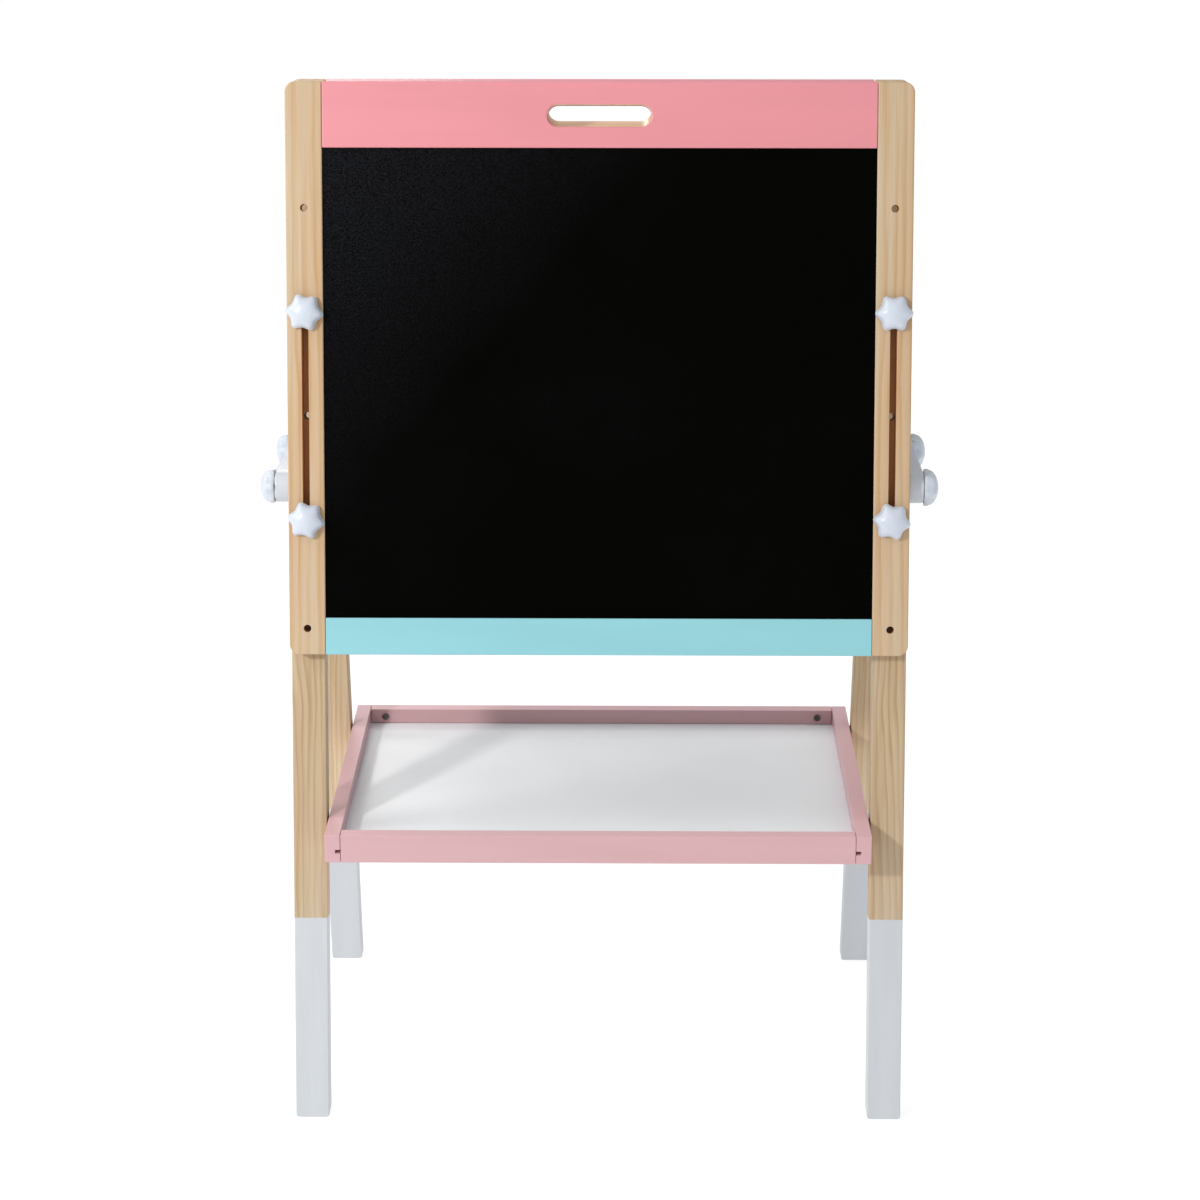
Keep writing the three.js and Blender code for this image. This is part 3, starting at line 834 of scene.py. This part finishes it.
for side in SIDES:
    bottom = f"{side}_board_bottom_rail"
    dress(bottom, painted_rail(f"{bottom}_paint", bottom, side, TEAL), PAINT_EDGE)
dress("front_chalkboard_panel", chalkboard(), THIN_EDGE, 1)
dress("rear_whiteboard_panel", whiteboard(), THIN_EDGE, 1)
dress("tray_floor_panel", laminate(), THIN_EDGE, 1)
for end in ("front", "rear"):
    rail = f"tray_{end}_rail"
    dress(rail, tray_paint(f"{rail}_paint", rail, ALONG_X, TRAY_PINK), TRAY_EDGE)
for hand in HANDS:
    rail = f"tray_{hand}_rail"
    dress(rail, tray_paint(f"{rail}_paint", rail, ALONG_Y, TRAY_PINK), TRAY_EDGE)
plastic = white_plastic()
for hand in HANDS:
    dress(f"{hand}_link", plastic, LINK_EDGE, 4)


# ---------------------------------------------------------------- turned and moulded pieces

STEPS = 96               # points round each outline
DOME_STEPS = 8

KNOB_R = 16.3 * MM
KNOB_STUD_R = 2.9 * MM
STUD_TIP_R = 2.1 * MM
THREAD_DEPTH = 0.35 * MM
BOARD_STUD = 46 * MM
LINK_STUD = 27 * MM
LINK_KNOB_TURN = 12      # degrees
BOARD_KNOB_TURNS = {     # degrees
    ("upper", "left"): -7, ("upper", "right"): 0, ("lower", "left"): -11, ("lower", "right"): -9,
}


def circle(radius):
    return lambda angle: radius


def hexagon(flat):
    """A hexagon this far from its middle to its flats."""
    return lambda angle: flat / math.cos((angle + math.pi / 6) % (math.pi / 3) - math.pi / 6)


def cross(reach, width):
    """The outline of a cross recess: four arms of this reach and half width."""
    def radius(angle):
        turn = (angle + math.pi / 4) % (math.pi / 2) - math.pi / 4
        end = reach / math.cos(turn)
        return min(end, width / max(math.sin(abs(turn)), 1e-6))
    return radius


def star(scale, turn, depth=1.0):
    """The knob's outline: six lobes with wide valleys between them."""
    def radius(angle):
        phase = 6 * (angle - turn)
        wave = 1.8 * MM * math.cos(phase) + 0.15 * MM * math.cos(2 * phase)
        return (KNOB_R + wave * depth) * scale
    return radius


def revolve(name, rings, place, sharp, closed=False):
    """A solid from outlines stacked along Z: [(outline, height), ...], set in its place.

    The first and last outlines are capped, or joined to each other in a closed ring.
    """
    vertices, faces = [], []
    for outline, height in rings:
        for step in range(STEPS):
            angle = 2 * math.pi * step / STEPS
            radius = outline(angle)
            vertices.append((radius * math.cos(angle), radius * math.sin(angle), height))
    total = len(rings)
    for ring in range(total if closed else total - 1):
        a = ring * STEPS
        b = (ring + 1) % total * STEPS
        for step in range(STEPS):
            following = (step + 1) % STEPS
            faces.append((a + step, a + following, b + following, b + step))
    if not closed:
        for ring in (0, total - 1):
            centre = len(vertices)
            vertices.append((0, 0, rings[ring][1]))
            for step in range(STEPS):
                following = (step + 1) % STEPS
                faces.append((ring * STEPS + following, ring * STEPS + step, centre))
    mesh = bpy.data.meshes.new(name)
    mesh.from_pydata(vertices, [], faces)
    mesh.transform(place)
    outward(mesh)
    piece = scene_object(name, mesh)
    smooth_flats(piece, sharp)
    return piece


def stand(origin, axis, sideways):
    """A place at origin whose Z lies along axis and whose X lies nearest to sideways."""
    z = Vector(axis).normalized()
    y = z.cross(Vector(sideways)).normalized()
    turn = Matrix((y.cross(z), y, z)).transposed().to_4x4()
    return Matrix.Translation(Vector(origin)) @ turn


def threads(low, high, radius, pitch):
    """The outlines of a screw thread, as a stack of ridges."""
    outlines = []
    height = low
    while height < high:
        outlines.append((circle(radius), height))
        outlines.append((circle(radius - THREAD_DEPTH), height + pitch / 2))
        height += pitch
    return outlines


def dome(rim, top, low, high, reach):
    """The outlines of a screw head's dome, as far round its curve as reach, in radians."""
    outlines = []
    for step in range(1, DOME_STEPS + 1):
        rise = reach * step / DOME_STEPS
        radius = top + (rim - top) * math.cos(rise)
        outlines.append((circle(radius), low + (high - low) * math.sin(rise) / math.sin(reach)))
    return outlines


def star_knob(node, sideways, stud, turn):
    """A domed star knob with a thin rim round its foot, and its threaded stud."""
    turn = math.radians(turn)
    outlines = [(circle(STUD_TIP_R), -stud)]
    outlines += threads(-stud + 0.7 * MM, -1.5 * MM, KNOB_STUD_R, 1.0 * MM)
    outlines += [
        (circle(KNOB_STUD_R), 0.0),
        (star(0.9, turn, 0.6), 0.0),
        (star(0.955, turn), 0.15 * MM),
        (star(0.985, turn), 0.6 * MM),
        (star(1.0, turn), 1.5 * MM),
        (star(1.0, turn), 3.6 * MM),
        (star(0.99, turn), 4.2 * MM),
        (star(0.965, turn), 4.6 * MM),
    ]
    base, crown = 5.0 * MM, 14.6 * MM
    steps = 22
    for step in range(1, steps):
        rise = math.pi / 2 * step / steps
        scale = 0.955 * math.cos(rise) ** 0.9
        height = base + (crown - base) * math.sin(rise)
        outlines.append((star(scale, turn, scale ** 2.5), height))
    outlines.append((circle(0.4 * MM), crown))
    spin = JOINTS[f"{node}_turn"]
    place = stand(spin["pos_m"], spin["axis"], sideways)
    piece = revolve(f"{node}_moulding", outlines, place, 50)
    stand_in(piece, node, spin["child"], plastic)


for side in SIDES:
    for hand in HANDS:
        for level in ("lower", "upper"):
            star_knob(f"{side}_{level}_{hand}_board_knob", (1, 0, 0), BOARD_STUD,
                      BOARD_KNOB_TURNS[level, hand])
        star_knob(f"{side}_{hand}_link_knob", (0, 1, 0), LINK_STUD, LINK_KNOB_TURN)


def tee_nut(node, side):
    """A tee nut: a barrel in the leg and a thin round flange behind it."""
    flange, sheet, barrel, bore = 9.0 * MM, 1.4 * MM, 4.4 * MM, 3.2 * MM
    rings = [
        (circle(bore), 9.0 * MM), (circle(barrel - 0.2 * MM), 9.0 * MM),
        (circle(barrel), 8.8 * MM), (circle(barrel), 0.4 * MM), (circle(barrel + 0.4 * MM), 0.0),
        (circle(flange - 0.3 * MM), 0.0), (circle(flange), -0.3 * MM),
        (circle(flange), -sheet + 0.3 * MM), (circle(flange - 0.3 * MM), -sheet),
        (circle(barrel + 0.3 * MM), -sheet), (circle(barrel - 0.3 * MM), -sheet + 0.3 * MM),
        (circle(bore + 0.3 * MM), -sheet + 0.3 * MM), (circle(bore), -sheet + 0.6 * MM),
    ]
    joint = JOINTS[node.replace("tee_nut", "board_knob_turn")]
    knob_base = Vector(joint["pos_m"])
    inward = -Vector(joint["axis"]).normalized()
    middle = knob_base + inward * (FRAME_T + 2 * GAP + LEG_T + GAP)
    place = stand(middle, -inward, (1, 0, 0))
    piece = revolve(f"{node}_pressing", rings, place, 40, closed=True)
    stand_in(piece, node, f"{side}_legs", zinc)


def washer(node):
    low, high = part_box(node)
    half = (high.x - low.x) / 2
    outer = (high.z - low.z) / 2
    bore, rim = 3.3 * MM, 0.25 * MM
    rings = [
        (circle(bore), -half), (circle(outer - rim), -half), (circle(outer), -half + rim),
        (circle(outer), half - rim), (circle(outer - rim), half), (circle(bore), half),
    ]
    place = stand((low + high) / 2, (1, 0, 0), (0, 1, 0))
    piece = revolve(f"{node}_ring", rings, place, 40, closed=True)
    stand_in(piece, node, body_of(node), black_steel)


def tray_bolt(node, hand):
    """A button-headed bolt with a hexagonal socket, along X."""
    low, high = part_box(node)
    sign = HANDS[hand]
    head, shank, crown = 6.5 * MM, 3.0 * MM, 3.2 * MM
    rim, tall = 0.9 * MM, 3.4 * MM
    tip = high.x - low.x - tall
    rings = [(circle(shank - 0.5 * MM), -tip)]
    rings += threads(-tip + 0.6 * MM, -tip + 12 * MM, shank, 1.0 * MM)
    rings += [
        (circle(shank), -tip + 13 * MM), (circle(shank), 0.0),
        (circle(head - 0.3 * MM), 0.0), (circle(head), 0.3 * MM), (circle(head), rim),
    ]
    rings += dome(head, crown, rim, tall, math.radians(72))
    rings += [
        (hexagon(2.15 * MM), tall), (hexagon(2.0 * MM), tall - 0.2 * MM),
        (hexagon(2.0 * MM), tall - 2.2 * MM),
    ]
    outer = high.x if sign > 0 else low.x
    middle = (low + high) / 2
    place = stand((outer - sign * tall, middle.y, middle.z), (sign, 0, 0), (0, 1, 0))
    piece = revolve(f"{node}_turning", rings, place, 35)
    stand_in(piece, node, body_of(node), black_steel)


def tray_screw(node):
    """A pan-headed screw with a cross recess, along Y."""
    low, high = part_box(node)
    head, shank, crown = (high.x - low.x) / 2, 1.8 * MM, 2.3 * MM
    rim, tall = 0.8 * MM, 2.2 * MM
    length = high.y - low.y - tall
    rings = [(circle(0.3 * MM), -length)]
    rings += threads(-length + 2.0 * MM, -1.0 * MM, shank, 0.9 * MM)
    rings += [
        (circle(shank), 0.0), (circle(head - 0.2 * MM), 0.0),
        (circle(head), 0.25 * MM), (circle(head), rim),
    ]
    rings += dome(head, crown, rim, tall, math.pi / 2)
    rings += [(cross(2.0 * MM, 0.42 * MM), tall), (cross(1.7 * MM, 0.36 * MM), tall - 1.1 * MM)]
    middle = (low + high) / 2
    place = stand((middle.x, low.y + tall, middle.z), (0, -1, 0), (1, 0, 0.4))
    piece = revolve(f"{node}_turning", rings, place, 30)
    stand_in(piece, node, body_of(node), black_steel)


zinc = plated_steel("zinc_plate", colour(196, 198, 200), colour(160, 162, 164), 0.28, 0.45)
black_steel = plated_steel("dark_steel", colour(120, 118, 116), colour(84, 82, 80), 0.35, 0.52)
for side in SIDES:
    for hand in HANDS:
        for level in ("lower", "upper"):
            tee_nut(f"{side}_{level}_{hand}_tee_nut", side)
        dress(f"{side}_{hand}_link_insert", zinc, THIN_EDGE)
        washer(f"{side}_{hand}_tray_washer")
        tray_bolt(f"{side}_{hand}_tray_bolt", hand)
for hand in HANDS:
    tray_screw(f"tray_{hand}_screw")


# ---------------------------------------------------------------- floor, light and camera

FLOOR_HALF = 12.0
FLOOR_GLOW = 0.74
SKY_TINT = (0.97, 0.985, 1.0, 1.0)
SKY_AT_HORIZON = 0.5
SKY_AT_TOP = 0.78
SKY_TOP = 0.95           # the upward part of a direction where the sky is at its brightest
LAMP_AIM = Vector((0, 0, 0.6))
KEY_TINT = (1.0, 0.99, 0.97)
FILL_TINT = (1.0, 0.995, 0.98)

CAMERA_PLACE = (0.0270, -2.8975, 1.3880)
CAMERA_DOWN = 17.47      # degrees below level
CAMERA_TURN = 0.53       # degrees
CAMERA_LENS = 90.2
CAMERA_SENSOR = 36


def stage():
    """A wide pale floor with a glow of its own."""
    half = FLOOR_HALF
    mesh = bpy.data.meshes.new("floor")
    mesh.from_pydata([(-half, -half, 0), (half, -half, 0), (half, half, 0), (-half, half, 0)], [],
                     [(0, 1, 2, 3)])
    g = Graph("pale_floor")
    drift = g.noise(g.place(), 0.8, detail=2.0)
    g.set(Base_Color=g.mix(drift, grey(0.37), grey(0.34)), Roughness=0.9)
    g.set(Emission_Color=grey(1.0), Emission_Strength=FLOOR_GLOW)
    mesh.materials.append(g.material)
    scene_object("floor", mesh)


def softbox(name, place, size, power, tint):
    lamp = bpy.data.lights.new(name, "AREA")
    lamp.shape = "DISK"
    lamp.size = size
    lamp.energy = power
    lamp.color = tint
    holder = scene_object(name, lamp)
    holder.location = place
    holder.rotation_euler = (holder.location - LAMP_AIM).to_track_quat("Z", "Y").to_euler()


def lights():
    """A pale sky, a small strong softbox at the front left, and softer ones at the side and back."""
    world = bpy.data.worlds.new("studio")
    world.use_nodes = True
    tree = world.node_tree
    direction = tree.nodes.new("ShaderNodeTexCoord").outputs["Generated"]
    height = tree.nodes.new("ShaderNodeSeparateXYZ")
    tree.links.new(direction, height.inputs[0])
    brightness = tree.nodes.new("ShaderNodeMapRange")
    tree.links.new(height.outputs["Z"], brightness.inputs["Value"])
    limits = {"From Min": 0.0, "From Max": SKY_TOP, "To Min": SKY_AT_HORIZON, "To Max": SKY_AT_TOP}
    for name, value in limits.items():
        brightness.inputs[name].default_value = value
    background = tree.nodes["Background"]
    background.inputs["Color"].default_value = SKY_TINT
    tree.links.new(brightness.outputs[0], background.inputs["Strength"])
    bpy.context.scene.world = world

    softbox("key", place=(-1.6, -2.05, 1.7), size=0.24, power=34, tint=KEY_TINT)
    softbox("side", place=(-2.0, -0.3, 2.1), size=0.9, power=15, tint=FILL_TINT)
    softbox("rear", place=(-0.7, 2.2, 1.9), size=0.8, power=11, tint=FILL_TINT)


def camera():
    data = bpy.data.cameras.new("camera")
    data.lens = CAMERA_LENS
    data.sensor_width = CAMERA_SENSOR
    holder = scene_object("camera", data)
    holder.location = CAMERA_PLACE
    holder.rotation_euler = (math.radians(90 - CAMERA_DOWN), 0, math.radians(CAMERA_TURN))
    bpy.context.scene.camera = holder


stage()
lights()
camera()
bpy.context.scene.view_settings.view_transform = "Standard"
